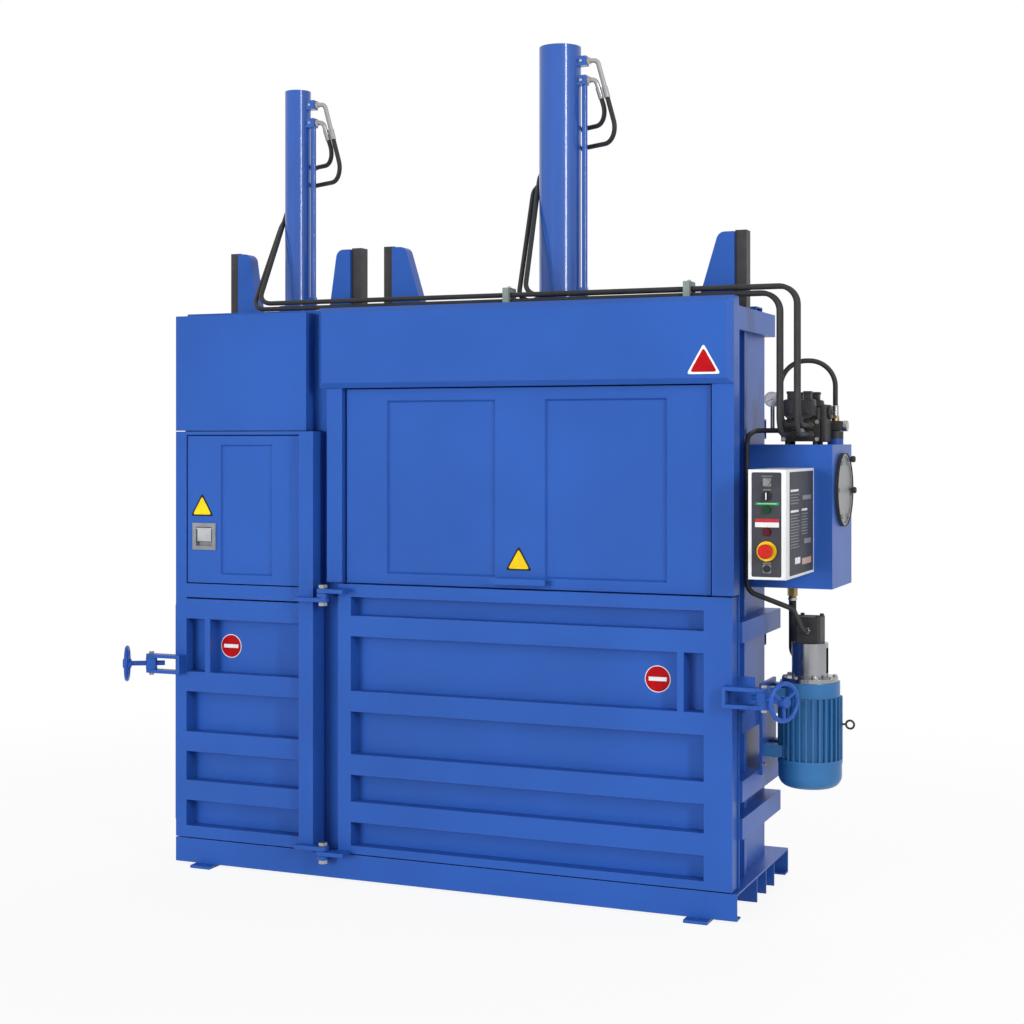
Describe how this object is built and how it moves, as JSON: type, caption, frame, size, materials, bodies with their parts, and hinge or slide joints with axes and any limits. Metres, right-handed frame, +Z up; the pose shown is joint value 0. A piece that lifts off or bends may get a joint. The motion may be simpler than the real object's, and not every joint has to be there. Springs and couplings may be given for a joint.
{
  "type": "recycling baler",
  "caption": "Twin-chamber vertical baler with hinged doors, a lifting gate, hydraulic presses, a power pack and a control cabinet.",
  "frame": {"origin": "on the floor, at the centre of the four anchor holes in the feet", "axes": "+Z up, +X to the machine's right seen from its front, +Y to its rear"},
  "size_m": [2.6217, 0.8814, 2.95],
  "materials": {
    "blue_paint": "satin blue machine enamel",
    "hose_rubber": "matt black hydraulic hose",
    "wear_plastic": "dark sliding plastic",
    "rod_chrome": "hard chrome",
    "zinc_steel": "zinc-plated steel",
    "cover_grey": "grey enamel cover",
    "valve_black": "dark phosphated iron",
    "coil_black": "moulded coil",
    "bell_aluminium": "turned aluminium",
    "motor_teal": "teal motor enamel on aluminium",
    "cabinet_white": "pale grey cabinet enamel",
    "signal_yellow": "yellow plastic",
    "signal_red": "red plastic",
    "button_green": "green plastic",
    "button_dark_red": "dark red plastic",
    "button_black": "black plastic",
    "lamp_clear": "grey lamp lens",
    "latch_grey": "grey latch",
    "clamp_grey": "grey-green clamp"
  },
  "bodies": {
    "frame": {"base_frame": "blue_paint", "foot_plates": "blue_paint", "left_wall": "blue_paint", "divider_wall": "blue_paint", "right_wall": "blue_paint", "rear_wall_small": "blue_paint", "rear_wall_large": "blue_paint", "small_header": "blue_paint", "large_header": "blue_paint", "gate_posts": "blue_paint", "small_top_beams": "blue_paint", "large_top_beams": "blue_paint", "cylinder_bridges": "blue_paint", "hinge_pins": "zinc_steel", "large_barrel": "blue_paint", "small_barrel": "blue_paint", "press_hoses": "hose_rubber", "pipe_clamps": "clamp_grey", "oil_tank": "blue_paint", "tank_cover": "cover_grey", "return_filter": "zinc_steel", "return_hose": "hose_rubber", "valve_block": "valve_black", "solenoids": "coil_black", "pressure_gauge": "zinc_steel", "control_cabinet": "cabinet_white", "cabinet_cover": "cabinet_white", "pilot_lamp": "lamp_clear", "estop_collar": "signal_yellow", "motor_body": "motor_teal", "motor_cowl": "motor_teal", "motor_bracket": "blue_paint", "bell_housing": "bell_aluminium", "pump_block": "valve_black", "suction_hose": "hose_rubber", "pressure_hose": "hose_rubber"},
    "small_door": {"small_door": "blue_paint", "small_lock_fork": "blue_paint"},
    "feed_flap": {"feed_flap": "blue_paint", "latch_housing": "latch_grey"},
    "latch_paddle": {"latch_paddle": "latch_grey"},
    "large_door": {"large_door": "blue_paint", "large_lock_fork": "blue_paint"},
    "small_clamp": {"small_trunnion": "blue_paint"},
    "small_wheel": {"small_handwheel": "blue_paint"},
    "large_clamp": {"large_trunnion": "blue_paint"},
    "large_wheel": {"large_handwheel": "blue_paint"},
    "feed_gate": {"feed_gate": "blue_paint"},
    "large_press": {"large_platen": "blue_paint", "large_wear_strips": "wear_plastic", "large_rod": "rod_chrome"},
    "small_press": {"small_platen": "blue_paint", "small_wear_strips": "wear_plastic", "small_rod": "rod_chrome"},
    "coupling": {"pump_coupling": "zinc_steel"},
    "estop": {"estop_button": "signal_red"},
    "start": {"start_button": "button_green"},
    "stop": {"stop_button": "button_dark_red"},
    "jog": {"jog_button": "button_black"},
    "selector": {"selector_knob": "button_black"}
  },
  "joints": [
    {"name": "small_door_hinge", "type": "hinge", "parent": "frame", "child": "small_door", "pos_m": [-0.4235, -0.386, 0.55], "axis": [0, 0, 1], "range_deg": [0, 85]},
    {"name": "large_door_hinge", "type": "hinge", "parent": "frame", "child": "large_door", "pos_m": [-0.4235, -0.386, 0.55], "axis": [0, 0, 1], "range_deg": [-85, 0]},
    {"name": "feed_flap_hinge", "type": "hinge", "parent": "small_door", "child": "feed_flap", "pos_m": [-0.538, -0.354, 1.3], "axis": [0, 0, 1], "range_deg": [0, 95]},
    {"name": "latch_paddle_hinge", "type": "hinge", "parent": "feed_flap", "child": "latch_paddle", "pos_m": [-0.937, -0.3415, 1.2295], "axis": [-1, 0, 0], "range_deg": [0, 40]},
    {"name": "gate_slide", "type": "slide", "parent": "frame", "child": "feed_gate", "axis": [0, 0, 1], "range_m": [0, 0.55]},
    {"name": "large_press_slide", "type": "slide", "parent": "frame", "child": "large_press", "axis": [0, 0, -1], "range_m": [0, 0.75]},
    {"name": "small_press_slide", "type": "slide", "parent": "frame", "child": "small_press", "axis": [0, 0, -1], "range_m": [0, 0.68]},
    {"name": "small_clamp_swing", "type": "hinge", "parent": "small_door", "child": "small_clamp", "pos_m": [-1.1495, -0.366, 0.732], "axis": [0, 0, 1], "range_deg": [-35, 35]},
    {"name": "small_wheel_spin", "type": "hinge", "parent": "small_clamp", "child": "small_wheel", "pos_m": [-1.1495, -0.366, 0.732], "axis": [-0.866, -0.5, 0], "continuous": true},
    {"name": "large_clamp_swing", "type": "hinge", "parent": "large_door", "child": "large_clamp", "pos_m": [1.1495, -0.366, 0.732], "axis": [0, 0, 1], "range_deg": [-35, 35]},
    {"name": "large_wheel_spin", "type": "hinge", "parent": "large_clamp", "child": "large_wheel", "pos_m": [1.1495, -0.366, 0.732], "axis": [0.866, -0.5, 0], "continuous": true},
    {"name": "coupling_spin", "type": "hinge", "parent": "frame", "child": "coupling", "pos_m": [1.2075, 0.034, 0.8], "axis": [0, 0, 1], "continuous": true},
    {"name": "estop_push", "type": "slide", "parent": "frame", "child": "estop", "axis": [0, 1, 0], "range_m": [0, 0.006]},
    {"name": "start_push", "type": "slide", "parent": "frame", "child": "start", "axis": [0, 1, 0], "range_m": [0, 0.005], "stiffness_N_per_m": 500},
    {"name": "stop_push", "type": "slide", "parent": "frame", "child": "stop", "axis": [0, 1, 0], "range_m": [0, 0.005], "stiffness_N_per_m": 500},
    {"name": "jog_push", "type": "slide", "parent": "frame", "child": "jog", "axis": [0, 1, 0], "range_m": [0, 0.005], "stiffness_N_per_m": 500},
    {"name": "selector_turn", "type": "hinge", "parent": "frame", "child": "selector", "pos_m": [1.1845, -0.46, 1.37768], "axis": [0, 1, 0], "range_deg": [-45, 45]}
  ]
}
